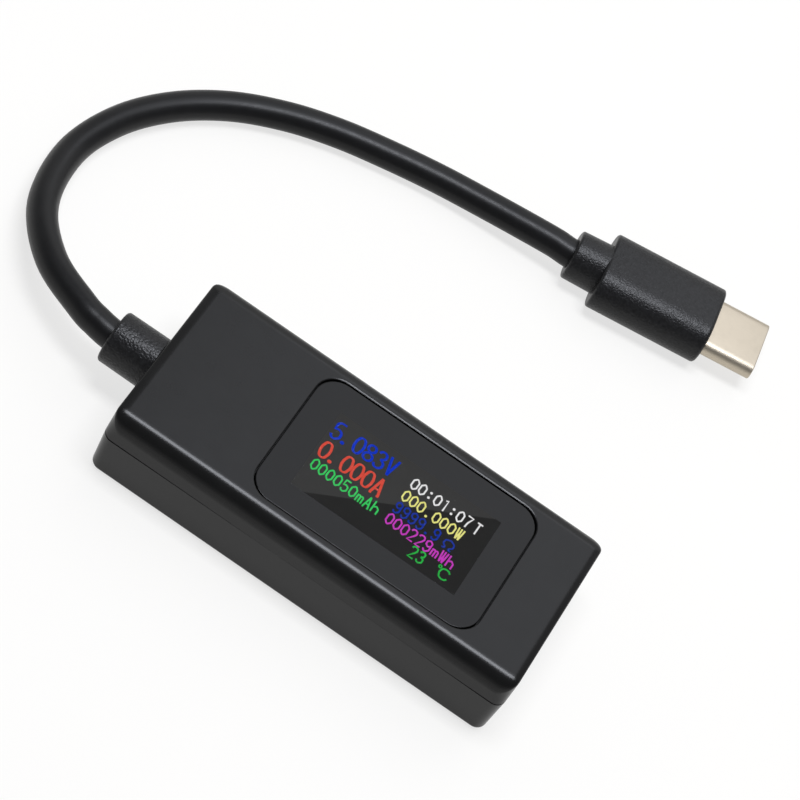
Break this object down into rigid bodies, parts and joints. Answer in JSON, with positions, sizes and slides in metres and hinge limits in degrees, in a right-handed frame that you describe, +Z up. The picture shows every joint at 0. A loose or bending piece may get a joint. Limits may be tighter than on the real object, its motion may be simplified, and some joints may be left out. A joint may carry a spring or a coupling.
{
  "type": "usb power meter",
  "caption": "Flat inline USB-C power meter: two-part housing with a display window, a side key, a socket at one end, and a captive cable with a plug at the other.",
  "frame": {"origin": "middle of the housing's underside", "axes": "+X along the housing from the cable end to the socket end, +Y to the side with the key, +Z up out of the display"},
  "size_m": [0.0825, 0.0695, 0.0109],
  "materials": {
    "housing_plastic": "satin moulded black",
    "grip_plastic": "finely grained black",
    "cable_jacket": "smooth black jacket",
    "window_acrylic": "clear plate with a dark printed border",
    "panel_glass": "dark display panel",
    "key_plastic": "satin black",
    "nickel": "nickel-plated steel",
    "tinned_metal": "tinned",
    "tape": "double-sided tape",
    "backlight_white": "white frame",
    "flex_polyimide": "amber film",
    "foam": "closed-cell foam",
    "board_laminate": "green solder mask",
    "chip_epoxy": "moulded epoxy",
    "resistor_ceramic": "ceramic",
    "capacitor_ceramic": "ceramic",
    "contact_plastic": "moulded black",
    "core_red": "red sleeve",
    "core_black": "black sleeve",
    "core_green": "green sleeve",
    "core_white": "white sleeve",
    "core_blue": "blue sleeve"
  },
  "bodies": {
    "housing": {"upper_shell": "housing_plastic", "lower_shell": "housing_plastic", "display_window": "window_acrylic", "window_adhesive": "tape", "lcd_glass": "panel_glass", "lcd_backlight": "backlight_white", "lcd_flex": "flex_polyimide", "foam_pad_left": "foam", "foam_pad_right": "foam", "main_board": "board_laminate", "microcontroller": "chip_epoxy", "current_sense_amplifier": "chip_epoxy", "voltage_regulator": "chip_epoxy", "memory_chip": "chip_epoxy", "shunt_resistor": "resistor_ceramic", "crystal": "tinned_metal", "protection_diode": "chip_epoxy", "capacitor_1": "capacitor_ceramic", "capacitor_2": "capacitor_ceramic", "capacitor_3": "capacitor_ceramic", "receptacle_shell": "nickel", "receptacle_tongue": "contact_plastic", "switch_body": "chip_epoxy", "strain_relief": "grip_plastic", "cord": "cable_jacket", "cable_tail": "cable_jacket", "bus_wire": "core_red", "ground_wire": "core_black", "data_plus_wire": "core_green", "data_minus_wire": "core_white", "cc_wire": "core_blue", "plug_overmould": "grip_plastic", "plug_shell": "nickel", "plug_upper_wafer": "contact_plastic", "plug_lower_wafer": "contact_plastic", "plug_latch": "tinned_metal", "plug_board": "board_laminate", "plug_resistor": "resistor_ceramic"},
    "function_key": {"function_button": "key_plastic"},
    "key_switch": {"switch_plunger": "key_plastic"}
  },
  "joints": [
    {"name": "key_press", "type": "slide", "parent": "housing", "child": "function_key", "axis": [0, -1, 0], "range_m": [0, 0.0003], "stiffness_N_per_m": 5000},
    {"name": "switch_press", "type": "slide", "parent": "housing", "child": "key_switch", "axis": [0, -1, 0], "range_m": [0, 0.0003]}
  ],
  "couplings": [
    {"joint": "switch_press", "follows": "key_press", "ratio": 1}
  ]
}
